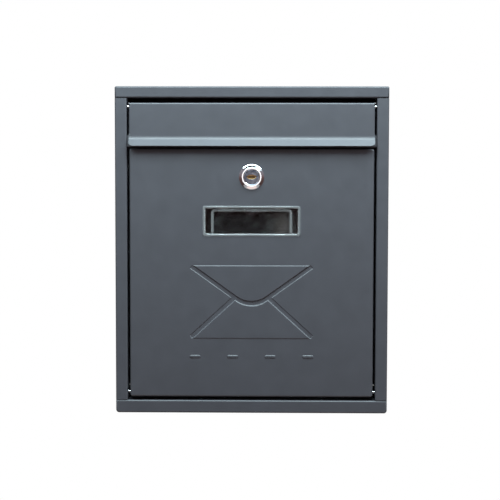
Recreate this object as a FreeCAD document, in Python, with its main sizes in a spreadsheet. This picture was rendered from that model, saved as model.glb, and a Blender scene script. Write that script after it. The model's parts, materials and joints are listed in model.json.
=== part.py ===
"""A wall mounted steel mailbox: folded case, letter flap, locked door and cam lock.

The frame has +Z up and +Y towards the wall, so the front faces -Y. The origin is the middle of
the pattern of wall holes, on the back face. All sizes are in millimetres.
"""
import FreeCAD, Part
import math
import os

import Sketcher

DIMENSIONS = [
    ("box_width", 260),
    ("box_height", 312),
    ("box_depth", 90),
    ("sheet", 0.8),
    ("bend", 1.5),
    ("frame", 11.4),
    ("frame_top", 10.9),
    ("frame_low", 12.3),
    ("frame_return", 16),
    ("seam", 0.3),
    ("top_corner", 1.6),
    ("low_corner", 3),
    ("tab_overlap", 2.8),
    ("tab_length", 11),
    ("tab_margin", 6),
    ("tab_lip_gap", 2),
    ("wall_hole", 3.25),
    ("wall_pitch_x", 180),
    ("wall_pitch_z", 160),
    # The rail between the flap and the door.
    ("sill_back_step", 1.1),
    ("sill_low", 98.2),
    ("sill_lip_top", 109.5),
    ("sill_keeper_low", 82),
    ("sill_keeper_back", 72),
    ("sill_clearance", 0.4),
    ("sill_tab_depth", 14),
    # The door, its pins and its relief.
    ("door_width", 232.4),
    ("door_top", 97),
    ("door_low", -140.2),
    ("door_flange", 14),
    ("door_edge", 1.4),
    ("door_pin_z", -136),
    ("pin_inset", 5),
    ("pin_radius", 1.2),
    ("pin_clearance", 0.08),
    ("pin_head_radius", 2),
    ("pin_head", 1.2),
    ("pin_round", 0.4),
    ("pin_end", 122.4),
    ("clip_radius", 4),
    ("clip_start", 119.8),
    ("clip_thickness", 0.6),
    ("relief_height", 0.9),
    ("relief_sink", 0.45),
    ("groove", 2.6),
    ("band_margin", 0.3),
    ("envelope_width", 118.8),
    ("envelope_top", -13.6),
    ("envelope_low", -84.4),
    ("flap_line_slope", 0.715),
    ("side_line_slope", 0.909),
    ("flap_line_radius", 26),
    ("arc_end", 1.1),
    ("dash_width", 11),
    ("dash_height", 3.2),
    ("dash_roundness", 0.95),
    ("dash_pitch", 36),
    ("dash_z", -101.4),
    ("dash_relief", 0.5),
    # The name window.
    ("window_z", 28.3),
    ("window_rim_width", 93.2),
    ("window_rim_height", 29.2),
    ("window_rim", 2.6),
    ("window_rim_proud", 1),
    ("window_rim_radius", 2.5),
    ("window_bead", 0.9),
    ("cutout_width", 90),
    ("cutout_height", 26.4),
    ("cutout_radius", 2),
    ("window_fit", 0.2),
    ("window_corner", 1.6),
    ("window_body", 4),
    ("pane_step", 3.4),
    ("card_rib_width", 77.8),
    ("card_rib_height", 23.4),
    ("card_rib", 3),
    ("card_rib_proud", 1.2),
    ("card_rib_inner", 1.4),
    ("card_rib_outer", 4),
    ("card_rib_bead", 1),
    ("card_cover", 1.2),
    ("card_cover_width", 86),
    ("card_cover_height", 22.4),
    ("finger_radius", 6),
    ("snap_width", 8),
    ("snap_gap", 0.1),
    ("snap_catch", 0.8),
    ("snap_root", 0.4),
    ("snap_offset", 26),
    # The lock.
    ("lock_z", 70.3),
    ("bezel_radius", 12),
    ("bezel_proud", 2.4),
    ("bezel_ring_inner", 8.2),
    ("bezel_ring_outer", 9.3),
    ("bezel_slope_outer", 11.3),
    ("bezel_slope_drop", 1.7),
    ("bezel_slope_round", 0.5),
    ("bezel_edge", 0.3),
    ("bezel_round", 0.25),
    ("bezel_chamfer", 0.8),
    ("flange_seat", 1.9),
    ("barrel_radius", 9.3),
    ("barrel_length", 18),
    ("barrel_clearance", 0.3),
    ("plug_radius", 6.9),
    ("plug_flange", 7.2),
    ("plug_clearance", 0.07),
    ("plug_face", 1.5),
    ("plug_seat", 0.55),
    ("plug_round", 0.3),
    ("washer_radius", 12.5),
    ("washer", 0.8),
    ("nut_flats", 22),
    ("nut_height", 4),
    ("keyhole_width", 10.4),
    ("keyhole_height", 4.6),
    ("plug_cap", 1.1),
    ("chamber", 9.2),
    ("chamber_spare", 0.3),
    ("wafer", 1.2),
    ("wafer_side", 9),
    ("wafer_count", 5),
    ("wafer_pitch", 1.9),
    ("wafer_stagger", 0.3),
    ("wafer_gap", 0.1),
    ("key_slot_width", 6.6),
    ("key_slot_height", 1.6),
    ("tail", 6),
    ("tail_fit", 0.05),
    ("tail_short", 0.2),
    ("stop_radius", 8.6),
    ("stop_hub", 6.1),
    ("stop_disc", 1.2),
    ("stop_width", 3),
    ("stop_outer_gap", 0.2),
    ("stop_inner_gap", 0.4),
    ("disc_gap", 0.1),
    ("notch_side", 2),
    ("cam_length", 25),
    ("cam_width", 14),
    ("cam_heel", 8),
    ("cam_corner", 3.5),
    ("cam", 2),
    ("cam_washer", 0.5),
    ("cam_washer_radius", 4.5),
    ("screw_radius", 1.5),
    ("screw_head_radius", 3.5),
    ("screw_head", 2),
    ("screw_round", 1),
    ("screw_length", 8),
    ("screw_gap", 0.5),
    # The letter flap.
    ("flap_width", 233.2),
    ("flap_top", 140.4),
    ("flap_fold", 12),
    ("flap_side_low", 111),
    ("flap_pin_z", 137),
    ("lip_start", 107.1),
    ("lip_drop", 7.4),
    ("lip_bend", 6),
    ("lip_out", 6.6),
    ("lip_corner", 4.5),
]

doc = FreeCAD.newDocument("wall_mailbox")
dims = doc.addObject("Spreadsheet::Sheet", "dims")
for row, (alias, amount) in enumerate(DIMENSIONS, start=1):
    dims.set(f"A{row}", alias)
    dims.set(f"B{row}", str(amount))
    dims.setAlias(f"B{row}", alias)
doc.recompute()

# Expressions that several pieces share.
HALF = "dims.box_width / 2"
OPENING = "(dims.box_width / 2 - dims.frame)"
DEPTH = "dims.box_depth"
SHEET = "dims.sheet"
BEND = "dims.bend"
INNER_BEND = "(dims.bend - dims.sheet)"
TOP_SKIRT = "(dims.box_height / 2 - dims.frame_top)"
LOW_SKIRT = "(dims.box_height / 2 - dims.frame_low)"
PIN_DEPTH = "(dims.box_depth - dims.pin_inset)"
DOOR_HALF = "(dims.door_width / 2)"
FLAP_HALF = "(dims.flap_width / 2)"
BARREL_BACK = "(dims.box_depth - dims.barrel_length)"
CAM_FRONT = f"({BARREL_BACK} - dims.disc_gap - dims.stop_disc)"
CAM_BACK = f"({CAM_FRONT} - dims.cam)"
WASHER_BACK = f"({CAM_BACK} - dims.cam_washer)"

# Places that differ by less than this, in mm, are the same place.
SAME = 0.01


def number(expression):
    """The value of an expression on the sheet."""
    return float(dims.evalExpression(expression))


def new_body(label):
    """An empty body in the shared frame."""
    body = doc.addObject("PartDesign::Body", label)
    body.Label = label
    body.Placement = FreeCAD.Placement()
    return body


def sketch_on(body, role, x="0", y="0", z="0"):
    """An empty sketch on an origin plane of the body, moved by expressions along its own axes."""
    sketch = body.newObject("Sketcher::SketchObject", body.Label + "_sketch")
    plane = next(feature for feature in body.Origin.OriginFeatures if feature.Role == role)
    sketch.AttachmentSupport = (plane, [""])
    sketch.MapMode = "FlatFace"
    sketch.setExpression("AttachmentOffset.Base.x", x)
    sketch.setExpression("AttachmentOffset.Base.y", y)
    sketch.setExpression("AttachmentOffset.Base.z", z)
    return sketch


def constrain(sketch, kind, elements, expression):
    """A dimension of the sketch that the sheet drives."""
    index = sketch.addConstraint(Sketcher.Constraint(kind, *elements, number(expression)))
    sketch.setExpression(f"Constraints[{index}]", expression)


def circle(sketch, x, y, radius):
    """A circle whose centre and radius are expressions."""
    centre = FreeCAD.Vector(number(x), number(y), 0)
    shape = Part.Circle(centre, FreeCAD.Vector(0, 0, 1), number(radius))
    index = sketch.addGeometry(shape, False)
    constrain(sketch, "DistanceX", (-1, 1, index, 3), x)
    constrain(sketch, "DistanceY", (-1, 1, index, 3), y)
    constrain(sketch, "Radius", (index,), radius)


def corner_arc(before, corner, after, radius):
    """The arc that rounds a corner: its two ends, the arc, and whether it runs clockwise."""
    to_before = (before - corner).normalize()
    to_after = (after - corner).normalize()
    half_angle = to_before.getAngle(to_after) / 2
    start = corner + to_before * (radius / math.tan(half_angle))
    end = corner + to_after * (radius / math.tan(half_angle))
    centre = corner + (to_before + to_after).normalize() * (radius / math.sin(half_angle))
    clockwise = to_before.cross(to_after).z > 0
    first, last = (end, start) if clockwise else (start, end)
    angles = [math.atan2(point.y - centre.y, point.x - centre.x) for point in (first, last)]
    if angles[1] < angles[0]:
        angles[1] += 2 * math.pi
    full = Part.Circle(centre, FreeCAD.Vector(0, 0, 1), radius)
    return start, end, Part.ArcOfCircle(full, *angles), clockwise


def outline(sketch, corners):
    """A closed outline. Each corner is (x, y) or, where it is rounded, (x, y, radius)."""
    points = [FreeCAD.Vector(number(corner[0]), number(corner[1]), 0) for corner in corners]
    count = len(points)
    arcs = {}
    for index, corner in enumerate(corners):
        if len(corner) == 3:
            after = points[(index + 1) % count]
            arcs[index] = corner_arc(points[index - 1], points[index], after, number(corner[2]))
    lines = []
    for index in range(count):
        following = (index + 1) % count
        start = arcs[index][1] if index in arcs else points[index]
        end = arcs[following][0] if following in arcs else points[following]
        lines.append(sketch.addGeometry(Part.LineSegment(start, end), False))
    for index, corner in enumerate(corners):
        incoming = lines[index - 1]
        outgoing = lines[index]
        if index not in arcs:
            sketch.addConstraint(Sketcher.Constraint("Coincident", incoming, 2, outgoing, 1))
            constrain(sketch, "DistanceX", (-1, 1, outgoing, 1), corner[0])
            constrain(sketch, "DistanceY", (-1, 1, outgoing, 1), corner[1])
            continue
        arc = sketch.addGeometry(arcs[index][2], False)
        arc_start, arc_end = (2, 1) if arcs[index][3] else (1, 2)
        mark = sketch.addGeometry(Part.Point(points[index]), True)
        constrain(sketch, "DistanceX", (-1, 1, mark, 1), corner[0])
        constrain(sketch, "DistanceY", (-1, 1, mark, 1), corner[1])
        sketch.addConstraint(Sketcher.Constraint("PointOnObject", mark, 1, incoming))
        sketch.addConstraint(Sketcher.Constraint("PointOnObject", mark, 1, outgoing))
        sketch.addConstraint(Sketcher.Constraint("Tangent", incoming, 2, arc, arc_start))
        sketch.addConstraint(Sketcher.Constraint("Tangent", arc, arc_end, outgoing, 1))
        constrain(sketch, "Radius", (arc,), corner[2])


def rectangle(sketch, x_low, y_low, x_high, y_high, radius=None):
    """A rectangle between two corners, with rounded corners where a radius is given."""
    places = [(x_low, y_low), (x_high, y_low), (x_high, y_high), (x_low, y_high)]
    outline(sketch, [place + (radius,) if radius else place for place in places])


def pad(body, sketch, length, back=False, both=False, taper=None):
    """Material along the sketch's normal, against it, or to both sides of it."""
    feature = body.newObject("PartDesign::Pad", body.Label + "_pad")
    feature.Profile = sketch
    feature.setExpression("Length", length)
    feature.Reversed = back
    if both:
        feature.SideType = "Symmetric"
    if taper:
        feature.setExpression("TaperAngle", taper)
    doc.recompute()
    return feature


def pocket(body, sketch, length, along=False, both=False, taper=None):
    """A cut against the sketch's normal, along it, or to both sides; it must remove material."""
    volume = body.Shape.Volume
    feature = body.newObject("PartDesign::Pocket", body.Label + "_pocket")
    feature.Profile = sketch
    feature.setExpression("Length", length)
    feature.Reversed = along
    if both:
        feature.SideType = "Symmetric"
    if taper:
        feature.setExpression("TaperAngle", taper)
    doc.recompute()
    if not body.Shape.Volume < volume - SAME:
        raise RuntimeError(f"a pocket of {body.Label} removes nothing")
    return feature


def round_edges(body, radius, chosen):
    """A fillet on every edge of the body for which chosen(edge) is true."""
    base = body.Tip
    names = [f"Edge{index}" for index, edge in enumerate(base.Shape.Edges, start=1) if chosen(edge)]
    if not names:
        raise RuntimeError(f"{body.Label} has no edge to round")
    feature = body.newObject("PartDesign::Fillet", body.Label + "_fillet")
    feature.Base = (base, names)
    feature.setExpression("Radius", radius)
    doc.recompute()
    return feature


def on_plane(edge, axis, place):
    """Whether a whole edge lies in the plane where one coordinate has this value."""
    box = edge.BoundBox
    low, high = getattr(box, axis + "Min"), getattr(box, axis + "Max")
    return abs(low - place) < SAME and abs(high - place) < SAME


def turned(label, role, profile, x="0", y="0", z="0"):
    """A body of revolution about its sketch's horizontal axis, from (along, radius) corners."""
    body = new_body(label)
    sketch = sketch_on(body, role, x, y, z)
    outline(sketch, profile)
    feature = body.newObject("PartDesign::Revolution", label + "_turn")
    feature.Profile = sketch
    feature.ReferenceAxis = (sketch, ["H_Axis"])
    feature.Angle = 360
    doc.recompute()
    return body


def case_shell():
    """Back, sides, front side flanges and their inward returns, folded from one sheet."""
    body = new_body("case_shell")
    jamb_end = f"dims.frame_return - {DEPTH}"
    half = [
        (OPENING, jamb_end),
        (OPENING, f"-{DEPTH}", BEND),
        (HALF, f"-{DEPTH}", BEND),
        (HALF, "0", BEND),
    ]
    inner_half = [
        (f"{HALF} - {SHEET}", f"-{SHEET}", INNER_BEND),
        (f"{HALF} - {SHEET}", f"{SHEET} - {DEPTH}", INNER_BEND),
        (f"{OPENING} + {SHEET}", f"{SHEET} - {DEPTH}", INNER_BEND),
        (f"{OPENING} + {SHEET}", jamb_end),
    ]
    section = sketch_on(body, "XY_Plane", z=f"dims.seam - {LOW_SKIRT}")
    outline(section, half + mirrored(half) + mirrored(inner_half) + inner_half)
    pad(body, section, f"{TOP_SKIRT} + {LOW_SKIRT} - 2 * dims.seam")

    tab_out = f"{HALF} - {SHEET}"
    tab_in = f"{HALF} - 2 * {SHEET}"
    tab_front = f"dims.frame_return + dims.tab_lip_gap - {DEPTH}"
    for side, skirt in (("", TOP_SKIRT), ("-", LOW_SKIRT)):
        tabs = sketch_on(body, "XY_Plane", z=f"{side}({skirt} - dims.seam - dims.tab_overlap)")
        rectangle(tabs, tab_in, tab_front, tab_out, "-dims.tab_margin")
        rectangle(tabs, f"-({tab_out})", tab_front, f"-({tab_in})", "-dims.tab_margin")
        rectangle(tabs, f"2 * dims.tab_margin - {HALF}", f"-2 * {SHEET}",
                  f"{HALF} - 2 * dims.tab_margin", f"-{SHEET}")
        pad(body, tabs, "dims.tab_length", back=bool(side))

    pins = sketch_on(body, "YZ_Plane")
    for height in ("dims.door_pin_z", "dims.flap_pin_z"):
        circle(pins, f"-{PIN_DEPTH}", height, "dims.pin_radius + dims.pin_clearance")
    pocket(body, pins, f"2 * ({OPENING} + 3 * {SHEET})", both=True)

    holes = sketch_on(body, "XZ_Plane")
    for side_x in ("-", ""):
        for side_z in ("-", ""):
            circle(holes, f"{side_x}dims.wall_pitch_x / 2", f"{side_z}dims.wall_pitch_z / 2",
                   "dims.wall_hole")
    pocket(body, holes, f"2 * {SHEET}", along=True)
    return body


def mirrored(corners):
    """The same corners on the other side of the middle plane, in the opposite order."""
    return [(f"-({corner[0]})",) + corner[1:] for corner in reversed(corners)]


def tray(label, side, skirt, corner):
    """A folded end piece: end plate, skirt all round, and a return lip along the front.

    side is "" for the top piece and "-" for the bottom piece.
    """
    body = new_body(label)
    outer = sketch_on(body, "XZ_Plane")
    end_z = f"{side}dims.box_height / 2"
    lip_z = f"{side}{skirt}"
    outline(outer, [
        (f"-{HALF}", lip_z),
        (HALF, lip_z),
        (HALF, end_z, corner),
        (f"-{HALF}", end_z, corner),
    ])
    pad(body, outer, DEPTH)
    lip_outer = number(lip_z)
    round_edges(body, BEND, lambda edge: on_plane(edge, "Y", -number(DEPTH)))
    round_edges(body, BEND, lambda edge: on_plane(edge, "Y", 0) and not on_plane(edge, "Z", lip_outer))

    inner_z = f"{side}(dims.box_height / 2 - {SHEET})"
    inner_x = f"({HALF} - {SHEET})"
    inner_corner = f"{corner} - {SHEET}"
    open_z = f"{side}({skirt} - {SHEET})"
    open_side = [(f"-{inner_x}", open_z), (inner_x, open_z)]
    lip_inner = f"{side}({skirt} + {SHEET})"
    lip_side = [(f"-{inner_x}", lip_inner), (inner_x, lip_inner)]
    far_side = [(inner_x, inner_z, inner_corner), (f"-{inner_x}", inner_z, inner_corner)]
    rear = sketch_on(body, "XZ_Plane", z=SHEET)
    outline(rear, open_side + far_side)
    pocket(body, rear, f"{DEPTH} - dims.frame_return - {SHEET}", along=True)
    front = sketch_on(body, "XZ_Plane", z=f"{DEPTH} - dims.frame_return")
    outline(front, lip_side + far_side)
    pocket(body, front, f"dims.frame_return - {SHEET}", along=True)
    return body


def slot_sill():
    """The cross rail: a lip that the flap rests on, and a keeper that the cam catches behind."""
    body = new_body("slot_sill")
    lip_front = f"dims.sill_back_step - {DEPTH}"
    lip_back = f"dims.sill_back_step + {SHEET} - {DEPTH}"
    keeper_front = f"-dims.sill_keeper_back - {SHEET}"
    section = sketch_on(body, "YZ_Plane")
    outline(section, [
        (lip_front, "dims.sill_lip_top"),
        (lip_front, "dims.sill_low", BEND),
        (keeper_front, "dims.sill_low", INNER_BEND),
        (keeper_front, "dims.sill_keeper_low"),
        ("-dims.sill_keeper_back", "dims.sill_keeper_low"),
        ("-dims.sill_keeper_back", f"dims.sill_low + {SHEET}", BEND),
        (lip_back, f"dims.sill_low + {SHEET}", INNER_BEND),
        (lip_back, "dims.sill_lip_top"),
    ])
    pad(body, section, f"2 * ({OPENING} - dims.sill_clearance)", both=True)

    wall = f"({HALF} - {SHEET})"
    keeper_top = "dims.sill_low - dims.bend"
    plate = sketch_on(body, "XZ_Plane", z="dims.sill_keeper_back")
    rectangle(plate, f"-{wall}", "dims.sill_keeper_low", wall, keeper_top)
    pad(body, plate, SHEET)
    tabs = sketch_on(body, "XZ_Plane", z="dims.sill_keeper_back")
    rectangle(tabs, f"-{wall}", "dims.sill_keeper_low", f"{SHEET} - {wall}", keeper_top)
    rectangle(tabs, f"{wall} - {SHEET}", "dims.sill_keeper_low", wall, keeper_top)
    pad(body, tabs, "dims.sill_tab_depth", back=True)
    return body


def envelope_regions():
    """The outlines of the envelope's flap, of its base, and of the sunk band round the two.

    Two grooves fall from the top corners and meet in a rounded V, and two rise to them from the
    bottom corners. The flap and the base stand half a groove away from the grooves' middle lines.
    The band ends on the far side of the grooves, where the open triangles at the sides begin. The
    outlines of the flap and the base are those of their feet on the sunk level, so they reach past
    the envelope's top and bottom lines, and the band stays a little within these lines.
    """
    near = number("dims.groove") / 2
    sink = number("dims.relief_sink")
    far = near + sink
    within = number("dims.band_margin")
    edge = number("dims.envelope_width") / 2
    top = number("dims.envelope_top")
    low = number("dims.envelope_low")
    fall = number("dims.flap_line_slope")
    rise = number("dims.side_line_slope")
    fall_length = math.hypot(1, fall)
    rise_length = math.hypot(1, rise)
    fall_apex = top - fall * edge
    rise_apex = low + rise * edge

    def top_x(z):
        return (z - fall_apex - near * fall_length) / fall

    def foot_x(z):
        return (rise_apex - near * rise_length - z) / rise

    peak_x = (rise_apex - fall_apex + near * (fall_length - rise_length)) / (fall + rise)
    tip_x = (rise_apex - fall_apex + far * (fall_length + rise_length)) / (fall + rise)
    notch_radius = (peak_x - number("dims.arc_end")) * fall_length / fall
    flap_radius = number("dims.flap_line_radius") - near

    flap = [
        (-top_x(top + sink), top + sink),
        (0, fall_apex + near * fall_length, flap_radius),
        (top_x(top + sink), top + sink),
    ]
    base = [
        (-foot_x(low - sink), low - sink),
        (foot_x(low - sink), low - sink),
        (peak_x, fall_apex + fall * peak_x - near * fall_length),
        (0, fall_apex - near * fall_length, notch_radius),
        (-peak_x, fall_apex + fall * peak_x - near * fall_length),
    ]
    right_side = [
        (foot_x(low + within), low + within),
        (edge, rise_apex - rise * edge + far * rise_length),
        (tip_x, fall_apex + fall * tip_x - far * fall_length),
        (edge, fall_apex + fall * edge - far * fall_length),
        (top_x(top - within), top - within),
    ]
    left_side = [(-x, z) for x, z in reversed(right_side)]
    return flap, base, right_side + left_side


def drawn_in(corners, inset):
    """Corners that run counter-clockwise, moved so that every side lies inset further in."""
    points = [FreeCAD.Vector(corner[0], corner[1], 0) for corner in corners]
    moved = []
    for index, corner in enumerate(corners):
        before = (points[index] - points[index - 1]).normalize()
        after = (points[(index + 1) % len(points)] - points[index]).normalize()
        inward = FreeCAD.Vector(-before.y - after.y, before.x + after.x, 0)
        place = points[index] + inward * (inset / (1 + before.dot(after)))
        turn = math.copysign(1, before.cross(after).z)
        radius = [corner[2] - turn * inset] if len(corner) == 3 else []
        moved.append(tuple(f"{value:.4f}" for value in [place.x, place.y] + radius))
    return moved


def door_panel():
    """The pressed door: a tray with flanges, the envelope relief, four dashes and its cut-outs."""
    body = new_body("door_panel")
    back = f"({DEPTH} - dims.door_flange)"
    block = sketch_on(body, "XZ_Plane", z=back)
    rectangle(block, f"-{DOOR_HALF}", "dims.door_low", DOOR_HALF, "dims.door_top", BEND)
    pad(body, block, "dims.door_flange")
    front_plane = -number(DEPTH)
    round_edges(body, "dims.door_edge", lambda edge: on_plane(edge, "Y", front_plane))
    hollow = sketch_on(body, "XZ_Plane", z=back)
    rectangle(hollow, f"{SHEET} - {DOOR_HALF}", f"dims.door_low + {SHEET}",
              f"{DOOR_HALF} - {SHEET}", f"dims.door_top - {SHEET}", INNER_BEND)
    pocket(body, hollow, f"dims.door_flange - {SHEET}", along=True)

    flap, base, band = envelope_regions()
    behind = sketch_on(body, "XZ_Plane", z=f"{DEPTH} - {SHEET}")
    outline(behind, drawn_in(band, -number(SHEET)))
    pad(body, behind, "dims.relief_sink", back=True)
    sunk = sketch_on(body, "XZ_Plane", z=DEPTH)
    outline(sunk, drawn_in(band, 0))
    pocket(body, sunk, "dims.relief_sink", taper="-45")
    for region in (flap, base):
        raised = sketch_on(body, "XZ_Plane", z=f"{DEPTH} - dims.relief_sink")
        outline(raised, drawn_in(region, 0))
        pad(body, raised, "dims.relief_height", taper="-45")
        hollow = sketch_on(body, "XZ_Plane", z=f"{DEPTH} - {SHEET} - dims.relief_sink")
        outline(hollow, drawn_in(region, number("dims.relief_height")))
        pocket(body, hollow, "dims.relief_height", along=True)

    for step in (-1.5, -0.5, 0.5, 1.5):
        middle = f"{step} * dims.dash_pitch"
        dash = sketch_on(body, "XZ_Plane", z=DEPTH)
        dash_shape(dash, middle, "0")
        pad(body, dash, "dims.dash_relief")
        hollow = sketch_on(body, "XZ_Plane", z=f"{DEPTH} - {SHEET}")
        dash_shape(hollow, middle, "dims.dash_relief")
        pocket(body, hollow, "dims.dash_relief", along=True)

    openings = sketch_on(body, "XZ_Plane", z=f"{DEPTH} - 2 * {SHEET}")
    window_shape(openings, "dims.cutout_width", "dims.cutout_height", "dims.cutout_radius")
    circle(openings, "0", "dims.lock_z", "dims.barrel_radius + dims.barrel_clearance")
    pocket(body, openings, f"3 * {SHEET}", along=True)
    pins = sketch_on(body, "YZ_Plane")
    circle(pins, f"-{PIN_DEPTH}", "dims.door_pin_z", "dims.pin_radius")
    pocket(body, pins, f"2 * {HALF}", both=True)
    return body


def dash_shape(sketch, middle, inset):
    """A dash with round ends, drawn in by inset."""
    half_width = f"(dims.dash_width / 2 - {inset})"
    half_height = f"(dims.dash_height / 2 - {inset})"
    rectangle(sketch, f"{middle} - {half_width}", f"dims.dash_z - {half_height}",
              f"{middle} + {half_width}", f"dims.dash_z + {half_height}",
              f"{half_height} * dims.dash_roundness")


def window_shape(sketch, width, height, radius):
    """A rounded rectangle about the middle of the name window."""
    rectangle(sketch, f"-({width}) / 2", f"dims.window_z - ({height}) / 2",
              f"({width}) / 2", f"dims.window_z + ({height}) / 2", radius)


def window_insert():
    """The clear window: a rim on the door, a body through the cut-out, a pane and snap wedges."""
    body = new_body("window_insert")
    rim = sketch_on(body, "XZ_Plane", z=DEPTH)
    window_shape(rim, "dims.window_rim_width", "dims.window_rim_height", "dims.window_rim_radius")
    pad(body, rim, "dims.window_rim_proud")
    plug_width = "dims.cutout_width - 2 * dims.window_fit"
    plug_height = "dims.cutout_height - 2 * dims.window_fit"
    plug = sketch_on(body, "XZ_Plane", z=DEPTH)
    window_shape(plug, plug_width, plug_height, "dims.window_corner")
    pad(body, plug, "dims.window_body", back=True)
    recess = sketch_on(body, "XZ_Plane", z=f"{DEPTH} + dims.window_rim_proud")
    window_shape(recess, "dims.window_rim_width - 2 * dims.window_rim",
                 "dims.window_rim_height - 2 * dims.window_rim", "dims.window_corner")
    pocket(body, recess, "dims.pane_step")
    rim_plane = -number(f"{DEPTH} + dims.window_rim_proud")
    round_edges(body, "dims.window_bead", lambda edge: on_plane(edge, "Y", rim_plane))
    pane = f"{DEPTH} + dims.window_rim_proud - dims.pane_step"

    inner_half = "(dims.card_rib_width / 2 - dims.card_rib)"
    foot = "(dims.window_z - dims.card_rib_height / 2)"
    crown = "(dims.window_z + dims.card_rib_height / 2)"
    rib = sketch_on(body, "XZ_Plane", z=pane)
    outline(rib, [
        ("-dims.card_rib_width / 2", foot),
        (f"-{inner_half}", foot),
        (f"-{inner_half}", f"{crown} - dims.card_rib", "dims.card_rib_inner"),
        (inner_half, f"{crown} - dims.card_rib", "dims.card_rib_inner"),
        (inner_half, foot),
        ("dims.card_rib_width / 2", foot),
        ("dims.card_rib_width / 2", crown, "dims.card_rib_outer"),
        ("-dims.card_rib_width / 2", crown, "dims.card_rib_outer"),
    ])
    pad(body, rib, "dims.card_rib_proud")
    rib_plane = -number(f"{pane} + dims.card_rib_proud")
    round_edges(body, "dims.card_rib_bead", lambda edge: on_plane(edge, "Y", rib_plane))

    for side in ("-", ""):
        edge = f"{side}(dims.cutout_height / 2 - dims.window_fit)"
        for place in ("-", ""):
            middle = f"{place}dims.snap_offset"
            snap = sketch_on(body, "YZ_Plane", z=middle)
            catch = f"dims.snap_gap + {SHEET} - {DEPTH}"
            end = f"dims.window_body - dims.snap_root - {DEPTH}"
            outline(snap, [
                (catch, f"dims.window_z + {edge} - {side}dims.snap_root"),
                (end, f"dims.window_z + {edge} - {side}dims.snap_root"),
                (end, f"dims.window_z + {edge}"),
                (catch, f"dims.window_z + {edge} + {side}dims.snap_catch"),
            ])
            pad(body, snap, "dims.snap_width", both=True)
    return body


def card_cover():
    """The clear plate behind the window that holds the name card against the pane."""
    body = new_body("card_cover")
    plate = sketch_on(body, "XZ_Plane", z=f"{DEPTH} - dims.window_body")
    window_shape(plate, "dims.card_cover_width", "dims.card_cover_height", "dims.cutout_radius")
    pad(body, plate, "dims.card_cover", back=True)
    finger = sketch_on(body, "XZ_Plane", z=f"{DEPTH} - dims.window_body - dims.card_cover")
    circle(finger, "0", "dims.window_z + dims.card_rib_height / 2", "dims.finger_radius")
    pocket(body, finger, "2 * dims.card_cover", along=True)
    return body


def lock_housing():
    """The chrome bezel and barrel, with the plug's bore and a stop for the cam's turn."""
    face = f"(dims.bezel_proud + {DEPTH})"
    bore = "dims.plug_radius + dims.plug_clearance"
    flange_bore = "dims.plug_flange + dims.plug_clearance"
    body = turned("lock_housing", "YZ_Plane", [
        (f"-{BARREL_BACK}", bore),
        (f"dims.flange_seat - {face}", bore),
        (f"dims.flange_seat - {face}", flange_bore),
        (f"dims.bezel_chamfer - {face}", flange_bore),
        (f"-{face}", "dims.bezel_ring_inner"),
        (f"-{face}", "dims.bezel_ring_outer", "dims.bezel_round"),
        (f"dims.bezel_slope_drop - {face}", "dims.bezel_slope_outer", "dims.bezel_slope_round"),
        (f"-dims.bezel_edge - {DEPTH}", "dims.bezel_radius", "dims.bezel_round"),
        (f"-{DEPTH}", "dims.bezel_radius"),
        (f"-{DEPTH}", "dims.barrel_radius"),
        (f"-{BARREL_BACK}", "dims.barrel_radius"),
    ], y="dims.lock_z")
    stop = sketch_on(body, "XZ_Plane", z=BARREL_BACK)
    rectangle(stop, "-dims.stop_width / 2", "dims.lock_z - dims.barrel_radius + dims.stop_outer_gap",
              "dims.stop_width / 2", "dims.lock_z - dims.plug_radius - dims.stop_inner_gap")
    pad(body, stop, "dims.stop_disc", back=True)
    return body


def ring(label, start, length, inner, outer):
    """A ring about the lock's axis, from start towards the front; start is a distance from the wall."""
    return turned(label, "YZ_Plane", [
        (f"-({start})", inner),
        (f"-({start})", outer),
        (f"-({start} + {length})", outer),
        (f"-({start} + {length})", inner),
    ], y="dims.lock_z")


def lock_nut():
    """The hexagonal nut that clamps the housing against the back of the door."""
    body = new_body("lock_nut")
    start = f"{DEPTH} - {SHEET} - dims.washer"
    hexagon = sketch_on(body, "XZ_Plane", y="dims.lock_z", z=start)
    corners = []
    for corner in range(6):
        angle = 30 + 60 * corner
        reach = "dims.nut_flats / (2 * cos(30))"
        corners.append((f"{reach} * cos({angle})", f"{reach} * sin({angle})"))
    outline(hexagon, corners)
    circle(hexagon, "0", "0", "dims.barrel_radius")
    pad(body, hexagon, "dims.nut_height", back=True)
    return body


def square(sketch, side):
    """A square about the lock's axis."""
    rectangle(sketch, f"-{side} / 2", f"dims.lock_z - {side} / 2",
              f"{side} / 2", f"dims.lock_z + {side} / 2")


def lock_plug():
    """The core that the key turns: flange, shank, square tail, keyhole, wafer chamber and screw hole."""
    front = f"({DEPTH} + dims.plug_face)"
    shank_front = f"({DEPTH} + dims.plug_seat)"
    body = turned("lock_plug", "YZ_Plane", [
        (f"-{BARREL_BACK}", "0"),
        (f"-{front}", "0"),
        (f"-{front}", "dims.plug_flange", "dims.plug_round"),
        (f"-{shank_front}", "dims.plug_flange"),
        (f"-{shank_front}", "dims.plug_radius"),
        (f"-{BARREL_BACK}", "dims.plug_radius"),
    ], y="dims.lock_z")
    tail = sketch_on(body, "XZ_Plane", z=BARREL_BACK)
    square(tail, "dims.tail")
    pad(body, tail, f"{BARREL_BACK} - {CAM_BACK} - dims.tail_short", back=True)

    keyhole = sketch_on(body, "XZ_Plane", y="dims.lock_z", z=front)
    lens(keyhole, "dims.keyhole_width / 2", "dims.keyhole_height / 2")
    pocket(body, keyhole, "2 * dims.plug_cap")
    chamber = sketch_on(body, "XZ_Plane", z=f"{front} - dims.plug_cap")
    square(chamber, "dims.chamber")
    pocket(body, chamber, "dims.wafer_count * dims.wafer_pitch + dims.chamber_spare")
    screw = sketch_on(body, "XZ_Plane", z=CAM_BACK)
    circle(screw, "0", "dims.lock_z", "dims.screw_radius")
    pocket(body, screw, "dims.screw_length", along=True)
    return body


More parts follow.
